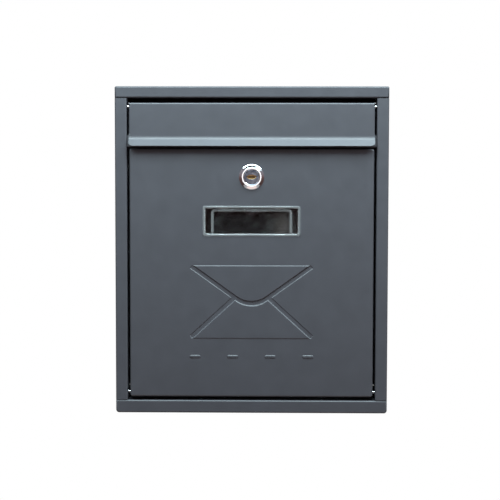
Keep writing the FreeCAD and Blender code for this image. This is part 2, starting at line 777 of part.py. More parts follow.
def lens(sketch, half_width, half_height):
    """A lens about the sketch's origin: two equal arcs between points at its left and right."""
    width, height = number(half_width), number(half_height)
    left, right = FreeCAD.Vector(-width, 0, 0), FreeCAD.Vector(width, 0, 0)
    upper = sketch.addGeometry(Part.Arc(right, FreeCAD.Vector(0, height, 0), left), False)
    lower = sketch.addGeometry(Part.Arc(left, FreeCAD.Vector(0, -height, 0), right), False)
    sketch.addConstraint(Sketcher.Constraint("Coincident", upper, 2, lower, 1))
    sketch.addConstraint(Sketcher.Constraint("Coincident", lower, 2, upper, 1))
    constrain(sketch, "DistanceX", (-1, 1, upper, 1), half_width)
    constrain(sketch, "DistanceY", (-1, 1, upper, 1), "0")
    constrain(sketch, "DistanceX", (-1, 1, upper, 2), f"-({half_width})")
    constrain(sketch, "DistanceY", (-1, 1, upper, 2), "0")
    radius = f"(({half_width})^2 + ({half_height})^2) / (2 * ({half_height}))"
    constrain(sketch, "Radius", (upper,), radius)
    constrain(sketch, "Radius", (lower,), radius)


def lock_wafers():
    """Five brass wafers across the plug's chamber, each with a window that the key passes through."""
    wafers = []
    for index in range(int(number("dims.wafer_count"))):
        first = f"{DEPTH} + dims.plug_face - dims.plug_cap - dims.wafer_gap"
        front = f"-({first} - {index} * dims.wafer_pitch)"
        stagger = "+" if index % 2 else "-"
        plate = part_box(
            f"wafer_plate_{index}",
            "-dims.wafer_side / 2", front, "dims.lock_z - dims.wafer_side / 2",
            "dims.wafer_side", "dims.wafer", "dims.wafer_side")
        slot_low = f"dims.lock_z - dims.key_slot_height / 2 {stagger} dims.wafer_stagger"
        window = part_box(
            f"wafer_window_{index}",
            "-dims.key_slot_width / 2", f"{front} - dims.wafer", slot_low,
            "dims.key_slot_width", "3 * dims.wafer", "dims.key_slot_height")
        cut = doc.addObject("Part::Cut", f"wafer_{index}")
        cut.Base = plate
        cut.Tool = window
        wafers.append(cut)
    group = doc.addObject("Part::Compound", "lock_wafers")
    group.Label = "lock_wafers"
    group.Links = wafers
    group.Placement = FreeCAD.Placement()
    doc.recompute()
    return group


def part_box(name, x, y, z, length, width, height):
    """A box whose low corner and sizes are expressions."""
    box = doc.addObject("Part::Box", name)
    for key, expression in (("Length", length), ("Width", width), ("Height", height)):
        box.setExpression(key, expression)
    for axis, expression in zip("xyz", (x, y, z)):
        box.setExpression("Placement.Base." + axis, expression)
    return box


def cam_stop_disc():
    """The disc on the plug's tail whose quarter notch runs against the housing's stop."""
    body = new_body("cam_stop_disc")
    disc = sketch_on(body, "XZ_Plane", y="dims.lock_z", z=f"{CAM_FRONT} + dims.stop_disc")
    circle(disc, "0", "0", "dims.stop_radius")
    half = "(dims.tail / 2 + dims.tail_fit)"
    rectangle(disc, f"-{half}", f"-{half}", half, half)
    pad(body, disc, "dims.stop_disc", back=True)
    notch = sketch_on(body, "XZ_Plane", y="dims.lock_z", z=f"{CAM_FRONT} + dims.stop_disc")
    outside = "2 * dims.stop_radius"
    outline(notch, [
        ("-dims.notch_side", f"-{outside}"),
        (outside, f"-{outside}"),
        (outside, "dims.notch_side"),
        ("dims.stop_hub", "dims.notch_side"),
        ("dims.stop_hub", "-dims.stop_hub", "dims.stop_hub"),
        ("-dims.notch_side", "-dims.stop_hub"),
    ])
    pocket(body, notch, "dims.stop_disc")
    return body


def lock_cam():
    """The flat cam with a rounded end, pointing to -X when the lock is open."""
    body = new_body("lock_cam")
    blade = sketch_on(body, "XZ_Plane", y="dims.lock_z", z=CAM_FRONT)
    rectangle(blade, "-dims.cam_length", "-dims.cam_width / 2",
              "dims.cam_heel", "dims.cam_width / 2", "dims.cam_corner")
    half = "(dims.tail / 2 + dims.tail_fit)"
    rectangle(blade, f"-{half}", f"-{half}", half, half)
    pad(body, blade, "dims.cam", back=True)
    return body


def cam_screw():
    """The screw that holds the cam on the plug's tail."""
    return turned("cam_screw", "YZ_Plane", [
        (f"-({WASHER_BACK} - dims.screw_head)", "0"),
        (f"-({WASHER_BACK} - dims.screw_head)", "dims.screw_head_radius", "dims.screw_round"),
        (f"-{WASHER_BACK}", "dims.screw_head_radius"),
        (f"-{WASHER_BACK}", "dims.screw_radius"),
        (f"-({CAM_BACK} + dims.screw_length - dims.screw_gap)", "dims.screw_radius"),
        (f"-({CAM_BACK} + dims.screw_length - dims.screw_gap)", "0"),
    ], y="dims.lock_z")


def hinge_pin(label, side, inside, height):
    """A headed pin through a flange and its jamb; side is "" at the right and "-" at the left."""
    return turned(label, "XY_Plane", [
        (f"{side}({inside} - dims.pin_head)", "0"),
        (f"{side}({inside} - dims.pin_head)", "dims.pin_head_radius", "dims.pin_round"),
        (f"{side}({inside})", "dims.pin_head_radius"),
        (f"{side}({inside})", "dims.pin_radius"),
        (f"{side}(dims.pin_end)", "dims.pin_radius", "dims.pin_round"),
        (f"{side}(dims.pin_end)", "0"),
    ], y=f"-{PIN_DEPTH}", z=height)


def pin_clip(label, side, height):
    """The push-on ring that keeps a hinge pin in its jamb."""
    return turned(label, "XY_Plane", [
        (f"{side}dims.clip_start", "dims.pin_radius"),
        (f"{side}dims.clip_start", "dims.clip_radius"),
        (f"{side}(dims.clip_start + dims.clip_thickness)", "dims.clip_radius"),
        (f"{side}(dims.clip_start + dims.clip_thickness)", "dims.pin_radius"),
    ], y=f"-{PIN_DEPTH}", z=height)


def flap_panel():
    """The letter flap: top fold, flat front, side folds, and a lip bent outwards along the bottom."""
    body = new_body("flap_panel")
    fold_end = f"dims.flap_fold - {DEPTH}"
    slant = "sqrt(dims.lip_drop^2 + dims.lip_out^2)"
    lip_y = f"{SHEET} * dims.lip_drop / {slant}"
    lip_z = f"{SHEET} * dims.lip_out / {slant}"
    back_y = f"{SHEET} - {DEPTH}"
    tip_y = f"-{DEPTH} - dims.lip_out"
    tip_z = "dims.lip_start - dims.lip_drop"
    back_bend = f"dims.lip_start - {SHEET} * ({slant} - dims.lip_drop) / dims.lip_out"
    section = sketch_on(body, "YZ_Plane")
    outline(section, [
        (fold_end, "dims.flap_top"),
        (f"-{DEPTH}", "dims.flap_top", BEND),
        (f"-{DEPTH}", "dims.lip_start", "dims.lip_bend"),
        (tip_y, tip_z),
        (f"{tip_y} + {lip_y}", f"{tip_z} - {lip_z}"),
        (back_y, back_bend, f"dims.lip_bend + {SHEET}"),
        (back_y, f"dims.flap_top - {SHEET}", INNER_BEND),
        (fold_end, f"dims.flap_top - {SHEET}"),
    ])
    pad(body, section, f"2 * {FLAP_HALF}", both=True)
    lip_front = number(f"{tip_y} + {SHEET}")
    half = number(FLAP_HALF)
    round_edges(body, "dims.lip_corner", lambda edge: edge.BoundBox.YMax < lip_front
                and edge.BoundBox.XLength < SAME and abs(abs(edge.BoundBox.XMin) - half) < SAME)
    for side, reverse in (("", True), ("-", False)):
        fold = sketch_on(body, "YZ_Plane", z=f"{side}{FLAP_HALF}")
        rectangle(fold, f"{SHEET} - {DEPTH}", "dims.flap_side_low", fold_end, f"dims.flap_top - {SHEET}")
        pad(body, fold, SHEET, back=reverse)
    pins = sketch_on(body, "YZ_Plane")
    circle(pins, f"-{PIN_DEPTH}", "dims.flap_pin_z", "dims.pin_radius")
    pocket(body, pins, f"2 * {HALF}", both=True)
    return body


def build():
    """Every sub-part of the mailbox, in the order of assembly."""
    parts = [
        case_shell(),
        tray("top_tray", "", TOP_SKIRT, "dims.top_corner"),
        tray("bottom_tray", "-", LOW_SKIRT, "dims.low_corner"),
        slot_sill(),
        door_panel(),
        window_insert(),
        card_cover(),
        lock_housing(),
        ring("lock_washer", f"{DEPTH} - {SHEET} - dims.washer", "dims.washer",
             "dims.barrel_radius + dims.barrel_clearance", "dims.washer_radius"),
        lock_nut(),
        lock_plug(),
        lock_wafers(),
        cam_stop_disc(),
        lock_cam(),
        ring("cam_spring_washer", WASHER_BACK, "dims.cam_washer",
             "dims.screw_radius", "dims.cam_washer_radius"),
        cam_screw(),
        flap_panel(),
    ]
    for name, side in (("left", "-"), ("right", "")):
        parts.append(hinge_pin(f"door_pin_{name}", side, f"{DOOR_HALF} - {SHEET}", "dims.door_pin_z"))
        parts.append(pin_clip(f"door_pin_clip_{name}", side, "dims.door_pin_z"))
        parts.append(hinge_pin(f"flap_pin_{name}", side, f"{FLAP_HALF} - {SHEET}", "dims.flap_pin_z"))
        parts.append(pin_clip(f"flap_pin_clip_{name}", side, "dims.flap_pin_z"))
    return parts


def write(parts):
    """Check the document and every shape, then write one file for each sub-part."""
    doc.recompute()
    for item in doc.Objects:
        if "Invalid" in item.State or "Error" in item.State:
            raise RuntimeError(f"{item.Label} failed: {item.State}")
    for item in parts:
        if item.Shape.isNull() or not item.Shape.isValid():
            raise RuntimeError(f"{item.Label} has no valid shape")
    os.makedirs("parts", exist_ok=True)
    for item in parts:
        item.Shape.exportStep(f"parts/{item.Label}.step")
        box = item.Shape.BoundBox
        ranges = [f"{getattr(box, axis + 'Min'):.1f} {getattr(box, axis + 'Max'):.1f}" for axis in "XYZ"]
        print(f"{item.Label}: {len(item.Shape.Solids)} solids, {item.Shape.Volume:.1f} mm3, {ranges}")


write(build())
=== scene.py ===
"""Looks of a wall mounted steel mailbox: pressed door and flap, coatings, chrome lock and clear window.

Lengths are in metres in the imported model's frame: +Z up, the wall at +Y, the front facing -Y.
"""
import json
import math

import bmesh
import bpy
import numpy as np
from mathutils import Matrix, Vector
from mathutils.geometry import delaunay_2d_cdt


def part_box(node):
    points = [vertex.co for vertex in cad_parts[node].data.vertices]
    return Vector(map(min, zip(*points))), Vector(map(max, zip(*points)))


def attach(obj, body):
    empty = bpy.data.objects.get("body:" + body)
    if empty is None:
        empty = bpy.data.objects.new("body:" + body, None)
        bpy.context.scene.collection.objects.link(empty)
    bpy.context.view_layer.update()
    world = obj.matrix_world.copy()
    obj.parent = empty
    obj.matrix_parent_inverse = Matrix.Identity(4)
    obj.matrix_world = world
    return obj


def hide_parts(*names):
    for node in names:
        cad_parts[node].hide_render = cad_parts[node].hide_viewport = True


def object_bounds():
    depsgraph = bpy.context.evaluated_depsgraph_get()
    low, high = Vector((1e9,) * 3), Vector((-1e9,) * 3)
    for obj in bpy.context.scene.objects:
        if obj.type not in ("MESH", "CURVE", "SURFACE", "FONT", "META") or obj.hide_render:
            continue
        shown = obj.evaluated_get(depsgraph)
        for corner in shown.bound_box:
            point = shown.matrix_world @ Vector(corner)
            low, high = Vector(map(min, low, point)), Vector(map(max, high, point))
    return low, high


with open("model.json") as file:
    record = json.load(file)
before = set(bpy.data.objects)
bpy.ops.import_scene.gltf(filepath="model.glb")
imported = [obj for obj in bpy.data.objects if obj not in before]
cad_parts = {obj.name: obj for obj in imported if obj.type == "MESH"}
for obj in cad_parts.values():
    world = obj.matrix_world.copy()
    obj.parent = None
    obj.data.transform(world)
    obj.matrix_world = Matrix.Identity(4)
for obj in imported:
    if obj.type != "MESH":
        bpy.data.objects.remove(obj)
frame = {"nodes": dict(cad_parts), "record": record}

CAD_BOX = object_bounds()
NODES = frame["nodes"]
MM = 0.001

# Places nearer together than this are the same place.
SAME = 1e-6

# Edges: what counts as flat and as sharp, and the rounding of each kind of part.
FLAT_ANGLE = math.radians(0.6)
SHARP_ANGLE = math.radians(50)
SHEET_EDGE = 0.12 * MM
CASE_EDGE = 0.15 * MM
LOCK_EDGE = 0.12 * MM
PIN_EDGE = 0.08 * MM
COVER_EDGE = 0.25 * MM
EDGE_SEGMENTS = 2
COVER_SEGMENTS = 3

# Sheet metal of the door and the flap.
SHEET = 0.8 * MM
BEND = 1.5 * MM
BEND_STEPS = 6
DOOR_CORNER = 2.1 * MM
CORNER_STEPS = 5
ROUND_STEPS = 20

# The pressed envelope: a raised flap and base, with sunk grooves between them and the side triangles.
RAISED = 0.45 * MM
SUNK = 0.45 * MM
WALL = 1.25 * MM
WALL_STEPS = 8
GROOVE = 2.6 * MM
ENVELOPE_WIDTH = 118.8 * MM
ENVELOPE_TOP = -13.6 * MM
ENVELOPE_LOW = -84.4 * MM
FALL = 0.715
RISE = 0.909
NOTCH_END = 1.15 * MM
FLAP_LINE_RADIUS = 26 * MM
REGION_CORNER = 0.5 * MM

# The row of dashes under the envelope.
DASH_WIDTH = 11 * MM
DASH_HEIGHT = 3.2 * MM
DASH_PITCH = 36 * MM
DASH_PLACES = (-1.5, -0.5, 0.5, 1.5)
DASH_ROUNDNESS = 0.98
DASH_Z = -101.4 * MM
DASH_RELIEF = 0.5 * MM
DASH_WALL = 0.9 * MM

# Openings in the door.
LOCK_HOLE = 9.6 * MM
HOLE_STEPS = 48
CUTOUT_MARGIN = 1.6 * MM
CUTOUT_CORNER = 2 * MM

# The name window: how far its pane lies behind the rim and the rib, and how clear its plastic is.
PANE_STEP = 3.4 * MM
RIB_PROUD = 1.2 * MM
RIM_CLARITY = 0.88
LIGHT_PASSED = 0.72

# How far behind the lock core's face the painted shade inside the keyhole begins, and where it is fully
# dark.
PAINTED_SHADE_FROM = 0.3 * MM
PAINTED_SHADE_TO = 1.1 * MM

# The letter flap.
LIP_START = 107.1 * MM
LIP_BEND = 6 * MM
LIP_EDGE = 0.53 * MM
LIP_CORNER = 4.5 * MM
LIP_CORNER_STEPS = 8
LIP_CORNER_SHARE = 0.999
COLUMN_DIGITS = 7
FOLD_LOW = 111 * MM

# The camera, measured from the middle of the front face.
CAMERA_DISTANCE = 1.2
CAMERA_SIDE = 16.9 * MM
CAMERA_RISE = 75.4 * MM
CAMERA_LENS = 90.9
CAMERA_SENSOR = 36
CAMERA_TURN = (0.875, -3.552, -0.093)

# The studio: what a surface sees from straight below (0) to straight above (1), and the lamps as
# (name, place, target, size, power in watts, colour).
SKY_STRENGTH = 0.36
SKY = [
    (0.0, (0.14, 0.085, 0.08)),
    (0.40, (0.28, 0.165, 0.155)),
    (0.48, (0.43, 0.26, 0.26)),
    (0.58, (0.55, 0.46, 0.51)),
    (1.0, (0.90, 0.94, 1.07)),
]
LAMPS = [
    ("top_box", (0.06, -0.39, 0.62), (0, -0.08, 0.0), (1.2, 0.34), 23.2, (0.765, 0.955, 1.0)),
    ("left_strip", (-0.75, -0.95, 0.05), (0, -0.09, 0.0), (0.08, 0.9), 0.7, (1.0, 0.92, 0.90)),
    ("right_strip", (0.70, -0.95, 0.05), (0, -0.09, 0.0), (0.1, 0.9), 1.5, (1.0, 0.92, 0.90)),
    ("back_box", (0.25, 1.1, 0.35), (0, 0, 0.0), (1.0, 0.8), 7.0, (0.90, 0.97, 1.0)),
    ("lock_card", (-0.035, -2.6, 0.06), (0, -0.09, 0.07), (0.16, 0.12), 0.09, (1.0, 1.0, 1.0)),
    ("pane_card", (0.06, -2.6, -0.10), (0, -0.09, 0.03), (0.05, 0.09), 0.02, (1.0, 0.98, 0.95)),
    ("blue_card", (-0.05, -0.30, 1.30), (0, -0.09, 0.07), (1.4, 0.30), 0.80, (0.14, 0.40, 0.9)),
    ("warm_card", (0, -0.32, -0.95), (0, -0.09, 0.07), (1.0, 0.25), 0.40, (1.0, 0.60, 0.48)),
]
FLOOR_DROP = 1.25
FLOOR_RADIUS = 1.5
FLOOR_SEGMENTS = 96


# Mesh helpers ------------------------------------------------------------------------------


def rounded(corners, radius):
    """The points of a closed polygon whose corners are rounded.

    corners holds (x, z) or (x, z, radius) tuples in order; radius serves those that state none, and
    those that state their own get more points.
    """
    points = []
    count = len(corners)
    for index, corner in enumerate(corners):
        here = Vector(corner[:2])
        own = corner[2] if len(corner) == 3 else radius
        to_before = (Vector(corners[index - 1][:2]) - here).normalized()
        to_after = (Vector(corners[(index + 1) % count][:2]) - here).normalized()
        half_angle = to_before.angle(to_after) / 2
        start = here + to_before * (own / math.tan(half_angle))
        end = here + to_after * (own / math.tan(half_angle))
        centre = here + (to_before + to_after).normalized() * (own / math.sin(half_angle))
        turn = (start - centre).angle_signed(end - centre)
        steps = ROUND_STEPS if len(corner) == 3 else CORNER_STEPS
        for step in range(steps + 1):
            points.append(centre + Matrix.Rotation(-turn * step / steps, 2) @ (start - centre))
    return points


def box_corners(low, high, inset=0.0):
    """The corners of a rectangle drawn in by inset."""
    return [
        (low[0] + inset, low[1] + inset),
        (high[0] - inset, low[1] + inset),
        (high[0] - inset, high[1] - inset),
        (low[0] + inset, high[1] - inset),
    ]


def add_loop(mesh, points, y):
    """A ring of vertices at one depth."""
    return [mesh.verts.new((point[0], y, point[1])) for point in points]


def bridge(mesh, outer, inner, closed=True):
    """Faces between two rings, or two rows, with the same number of vertices."""
    count = len(outer)
    for index in range(count if closed else count - 1):
        following = (index + 1) % count
        mesh.faces.new((outer[index], outer[following], inner[following], inner[index]))


def finished(name, mesh, material):
    """An object from a one-sided mesh: largest face to the front, smooth bends, sheet thickness inwards."""
    bmesh.ops.remove_doubles(mesh, verts=mesh.verts, dist=SAME)
    bmesh.ops.recalc_face_normals(mesh, faces=mesh.faces)
    largest = max(mesh.faces, key=lambda face: face.calc_area())
    if largest.normal.y >= 0:
        bmesh.ops.reverse_faces(mesh, faces=mesh.faces)
    data = bpy.data.meshes.new(name)
    mesh.to_mesh(data)
    mesh.free()
    data.materials.append(material)
    for polygon in data.polygons:
        polygon.use_smooth = True
    piece = bpy.data.objects.new(name, data)
    bpy.context.scene.collection.objects.link(piece)
    solid = piece.modifiers.new("sheet", "SOLIDIFY")
    solid.thickness = SHEET
    solid.offset = -1
    solid.use_even_offset = True
    soften(piece, width=SHEET_EDGE, weld=False)
    return piece


def soften(piece, width, weld=True, segments=EDGE_SEGMENTS):
    """Merge split vertices, drop needless edges in flat faces, round sharp edges, weight the normals.

    All of it is done by modifiers. A width of 0 leaves the edges as they are.
    """
    if weld:
        join = piece.modifiers.new("join", "WELD")
        join.merge_threshold = SAME
        flat = piece.modifiers.new("flat", "DECIMATE")
        flat.decimate_type = "DISSOLVE"
        flat.angle_limit = FLAT_ANGLE
    if width:
        bevel = piece.modifiers.new("edges", "BEVEL")
        bevel.width = width
        bevel.segments = segments
        bevel.limit_method = "ANGLE"
        bevel.angle_limit = SHARP_ANGLE
        bevel.use_clamp_overlap = True
    normals = piece.modifiers.new("normals", "WEIGHTED_NORMAL")
    normals.keep_sharp = True


# The door ----------------------------------------------------------------------------------


def envelope_regions():
    """The outlines of the envelope's flap, of its base, and of the sunk band round the two."""
    near = GROOVE / 2
    far = near + WALL
    edge = ENVELOPE_WIDTH / 2
    fall_length = math.hypot(1, FALL)
    rise_length = math.hypot(1, RISE)
    fall_apex = ENVELOPE_TOP - FALL * edge
    rise_apex = ENVELOPE_LOW + RISE * edge

    top_x = (ENVELOPE_TOP - fall_apex - near * fall_length) / FALL
    foot_x = (rise_apex - near * rise_length - ENVELOPE_LOW) / RISE
    peak_x = (rise_apex - fall_apex + near * (fall_length - rise_length)) / (FALL + RISE)
    tip_x = (rise_apex - fall_apex + far * (fall_length + rise_length)) / (FALL + RISE)
    notch_radius = (peak_x - NOTCH_END) * fall_length / FALL

    flap = [
        (-top_x, ENVELOPE_TOP),
        (0, fall_apex + near * fall_length, FLAP_LINE_RADIUS - near),
        (top_x, ENVELOPE_TOP),
    ]
    base = [
        (-foot_x, ENVELOPE_LOW),
        (foot_x, ENVELOPE_LOW),
        (peak_x, fall_apex + FALL * peak_x - near * fall_length),
        (0, fall_apex - near * fall_length, notch_radius),
        (-peak_x, fall_apex + FALL * peak_x - near * fall_length),
    ]
    right_side = [
        (foot_x, ENVELOPE_LOW),
        (edge, rise_apex - RISE * edge + far * rise_length),
        (tip_x, fall_apex + FALL * tip_x - far * fall_length),
        (edge, fall_apex + FALL * edge - far * fall_length),
        (top_x, ENVELOPE_TOP),
    ]
    left_side = [(-x, z) for x, z in reversed(right_side)]
    return flap, base, right_side + left_side


def drawn_in(corners, inset):
    """Corners that run counter-clockwise, moved so that every side lies inset further in."""
    points = [Vector(corner[:2]) for corner in corners]
    moved = []
    for index, corner in enumerate(corners):
        before = (points[index] - points[index - 1]).normalized()
        after = (points[(index + 1) % len(points)] - points[index]).normalized()
        inward = Vector((-before.y - after.y, before.x + after.x))
        place = points[index] + inward * (inset / (1 + before.dot(after)))
        turn = math.copysign(1, before.cross(after))
        moved.append(tuple(place) + tuple(radius - turn * inset for radius in corner[2:]))
    return moved


def depth_inside(places, ring):
    """How far each place lies inside a closed ring of points, 0 outside it, as an array."""
    start = np.array([tuple(point) for point in ring])
    step = np.roll(start, -1, axis=0) - start
    to_place = places[:, None, :] - start[None, :, :]
    share = np.clip((to_place * step).sum(axis=2) / (step ** 2).sum(axis=1), 0, 1)
    distance = np.linalg.norm(to_place - share[:, :, None] * step, axis=2).min(axis=1)
    sideways = places[:, None, 0]
    height = places[:, None, 1]
    passes = (start[:, 1] > height) != (start[:, 1] + step[:, 1] > height)
    slope = step[:, 0] / np.where(step[:, 1] == 0, 1, step[:, 1])
    crossing = sideways < start[:, 0] + (height - start[:, 1]) * slope
    inside = (passes & crossing).sum(axis=1) % 2 == 1
    return np.where(inside, distance, 0)


def s_curve(depth, wall):
    """The share of a wall's height reached at a depth inside its outline."""
    share = np.clip(depth / wall, 0, 1)
    return 0.5 - 0.5 * np.cos(np.pi * share)


def pressed_regions():
    """Each pressed region as (corners, corner radius, wall width, height outwards)."""
    flap, base, band = envelope_regions()
    regions = [
        (band, REGION_CORNER, WALL, -SUNK),
        (flap, REGION_CORNER, WALL, SUNK + RAISED),
        (base, REGION_CORNER, WALL, SUNK + RAISED),
    ]
    for place in DASH_PLACES:
        middle = place * DASH_PITCH
        low = (middle - DASH_WIDTH / 2, DASH_Z - DASH_HEIGHT / 2)
        high = (middle + DASH_WIDTH / 2, DASH_Z + DASH_HEIGHT / 2)
        end = DASH_ROUNDNESS * DASH_HEIGHT / 2
        dash = [corner + (end,) for corner in box_corners(low, high)]
        regions.append((dash, end, DASH_WALL, DASH_RELIEF))
    return regions


def door_front(mesh, outer, holes, y):
    """The door's flat front with its relief: constrained triangles, each vertex at its pressed height."""
    regions = pressed_regions()
    rings = [outer, *holes]
    for corners, radius, wall, _ in regions:
        for step in range(WALL_STEPS + 1):
            rings.append(rounded(drawn_in(corners, wall * step / WALL_STEPS), radius))
    points = []
    edges = []
    for ring in rings:
        first = len(points)
        points += [Vector(point) for point in ring]
        edges += [(first + index, first + (index + 1) % len(ring)) for index in range(len(ring))]
    places, _, triangles, *_ = delaunay_2d_cdt(points, edges, [], 0, SAME, False)

    places = np.array([tuple(place) for place in places])
    rise = np.zeros(len(places))
    for corners, radius, wall, height in regions:
        rise += height * s_curve(depth_inside(places, rounded(corners, radius)), wall)
    middles = np.array([places[list(corners)].mean(axis=0) for corners in triangles])
    is_open = sum(depth_inside(middles, hole) for hole in holes) > 0
    vertices = [mesh.verts.new((place[0], y - lift, place[1])) for place, lift in zip(places, rise)]
    for corners, cut_away in zip(triangles, is_open):
        if not cut_away:
            mesh.faces.new([vertices[index] for index in corners])


def circle(centre, radius):
    """The points of a circle."""
    angles = [math.tau * step / HOLE_STEPS for step in range(HOLE_STEPS)]
    return [centre + radius * Vector((math.cos(angle), math.sin(angle))) for angle in angles]


def make_door(material):
    """The door's sheet: flanges, bends, flat front with its cut-outs, and the pressed relief."""
    low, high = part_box("door_panel")
    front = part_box("case_shell")[0].y
    mesh = bmesh.new()
    sections = [(0.0, high.y), (0.0, (high.y + front) / 2)]
    for step in range(BEND_STEPS + 1):
        angle = math.pi / 2 * step / BEND_STEPS
        sections.append((BEND * (1 - math.cos(angle)), front + BEND - BEND * math.sin(angle)))
    rings = []
    for inset, y in sections:
        outer = rounded(box_corners((low.x, low.z), (high.x, high.z), inset), DOOR_CORNER - inset)
        rings.append(add_loop(mesh, outer, y))
    for before, after in zip(rings, rings[1:]):
        bridge(mesh, before, after)

    window_low, window_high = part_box("window_insert")
    cutout = box_corners((window_low.x, window_low.z), (window_high.x, window_high.z), CUTOUT_MARGIN)
    lock_low, lock_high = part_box("lock_washer")
    lock = Vector((lock_low.x + lock_high.x, lock_low.z + lock_high.z)) / 2
    door_front(mesh, outer, [rounded(cutout, CUTOUT_CORNER), circle(lock, LOCK_HOLE)], front)

    door = finished("door_sheet", mesh, material)
    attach(door, "door")
    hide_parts("door_panel")


# The flap ----------------------------------------------------------------------------------


def flap_section(low, high, front):
    """The flap's outer face as (y, z) points, from the top fold's edge to the lip's edge.

    Also gives the indexes of the points between which the side folds are attached, and the lip's start.
    """
    points = [(high.y, high.z)]
    for step in range(BEND_STEPS + 1):
        angle = math.pi / 2 * step / BEND_STEPS
        points.append((front + BEND - BEND * math.sin(angle), high.z - BEND + BEND * math.cos(angle)))
    fold_top = len(points) - 1
    points.append((front, (high.z + FOLD_LOW) / 2))
    points.append((front, FOLD_LOW))
    fold_low = len(points) - 1

    lip_tip = Vector((low.y, low.z + LIP_EDGE))
    start = Vector((front, LIP_START))
    turn = (lip_tip - start).angle(Vector((0, -1)))
    reach = LIP_BEND * math.tan(turn / 2)
    for step in range(BEND_STEPS + 1):
        angle = turn * step / BEND_STEPS
        y = front - LIP_BEND * (1 - math.cos(angle))
        points.append((y, LIP_START + reach - LIP_BEND * math.sin(angle)))
    lip_start = len(points) - 1
    last = Vector(points[-1])
    for share in (0.5, 1.0):
        points.append(tuple(last.lerp(lip_tip, share)))
    return points, fold_top, fold_low, lip_start


def flap_columns(half):
    """Where the columns of the flap's grid stand, close together at the lip's rounded corners."""
    columns = [half - BEND]
    for step in range(LIP_CORNER_STEPS + 1):
        share = 1 - math.cos(math.pi / 2 * step / LIP_CORNER_STEPS)
        columns.append(half - LIP_CORNER * share * LIP_CORNER_SHARE)
    columns = sorted(set(round(x, COLUMN_DIGITS) for x in columns))
    return [-x for x in reversed(columns)] + [0.0] + columns


def flap_rows(mesh, points, columns, lip_start, half):
    """One row of vertices for each point of the section, with the lip shortened at its rounded corners."""
    rows = [[] for _ in points]
    lip_root, lip_end = Vector(points[lip_start]), Vector(points[-1])
    lip_length = (lip_end - lip_root).length
    for x in columns:
        beyond = max(0.0, abs(x) - (half - LIP_CORNER))
        lost = LIP_CORNER - math.sqrt(max(0.0, LIP_CORNER ** 2 - beyond ** 2))
        for index, (y, z) in enumerate(points):
            if index > lip_start:
                share = (index - lip_start) / (len(points) - 1 - lip_start)
                y, z = lip_root.lerp(lip_end, share * (1 - lost / lip_length))
            rows[index].append(mesh.verts.new((x, y, z)))
    return rows


def side_fold(mesh, edge, side, half, front, back):
    """The fold at one end of the flap, from an edge of its front round the bend to the back."""
    previous = edge
    for step in range(1, BEND_STEPS + 1):
        angle = math.pi / 2 * step / BEND_STEPS
        x = side * (half - BEND + BEND * math.sin(angle))
        y = front + BEND * (1 - math.cos(angle))
        current = [mesh.verts.new((x, y, vertex.co.z)) for vertex in edge]
        bridge(mesh, previous, current, closed=False)
        previous = current
    last = [mesh.verts.new((side * half, back, vertex.co.z)) for vertex in edge]
    bridge(mesh, previous, last, closed=False)


def make_flap(material):
    """The letter flap's sheet: top fold, front, side folds and the lip with its rounded corners."""
    low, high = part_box("flap_panel")
    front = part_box("case_shell")[0].y
    points, fold_top, fold_low, lip_start = flap_section(low, high, front)
    half = high.x
    columns = flap_columns(half)
    mesh = bmesh.new()
    rows = flap_rows(mesh, points, columns, lip_start, half)
    inner_left = next(i for i, x in enumerate(columns) if x >= -(half - BEND) - SAME)
    inner_right = len(columns) - 1 - inner_left
    for index in range(len(points) - 1):
        folded = fold_top <= index < fold_low
        for column in range(len(columns) - 1):
            if folded and not inner_left <= column < inner_right:
                continue
            mesh.faces.new((rows[index][column], rows[index][column + 1],
                            rows[index + 1][column + 1], rows[index + 1][column]))
    for column, side in ((inner_left, -1), (inner_right, 1)):
        edge = [rows[index][column] for index in range(fold_top, fold_low + 1)]
        side_fold(mesh, edge, side, half, front, high.y)

    loose = [vertex for vertex in mesh.verts if not vertex.link_faces]
    bmesh.ops.delete(mesh, geom=loose, context="VERTS")
    flap = finished("flap_sheet", mesh, material)
    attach(flap, "flap")
    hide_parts("flap_panel")


# Materials ---------------------------------------------------------------------------------


def new_material(name, **settings):
    """A material with a Principled shader whose sockets have these values."""
    material = bpy.data.materials.new(name)
    material.use_nodes = True
    shader = material.node_tree.nodes["Principled BSDF"]
    for key, value in settings.items():
        shader.inputs[key.replace("_", " ")].default_value = value
    return material, material.node_tree, shader


def noise(tree, scale, detail=2.0, stretch=(1, 1, 1)):
    """A noise pattern in the object's own coordinates, with its scale in cycles per metre."""
    place = tree.nodes.new("ShaderNodeTexCoord")
    mapping = tree.nodes.new("ShaderNodeMapping")
    mapping.inputs["Scale"].default_value = stretch
    texture = tree.nodes.new("ShaderNodeTexNoise")
    texture.inputs["Scale"].default_value = scale
    texture.inputs["Detail"].default_value = detail
    tree.links.new(place.outputs["Object"], mapping.inputs["Vector"])
    tree.links.new(mapping.outputs["Vector"], texture.inputs["Vector"])
    return texture.outputs["Fac"]


def across(tree, axis):
    """A place's coordinate along one axis of the object, in metres."""
    place = tree.nodes.new("ShaderNodeTexCoord")
    split = tree.nodes.new("ShaderNodeSeparateXYZ")
    tree.links.new(place.outputs["Object"], split.inputs["Vector"])
    return split.outputs[axis]


def spread(tree, value, low, high, from_low=0.3, from_high=0.7):
    """The pattern's value moved into a range."""
    node = tree.nodes.new("ShaderNodeMapRange")
    node.inputs["From Min"].default_value = from_low
    node.inputs["From Max"].default_value = from_high
    node.inputs["To Min"].default_value = low
    node.inputs["To Max"].default_value = high
    tree.links.new(value, node.inputs["Value"])
    return node.outputs["Result"]


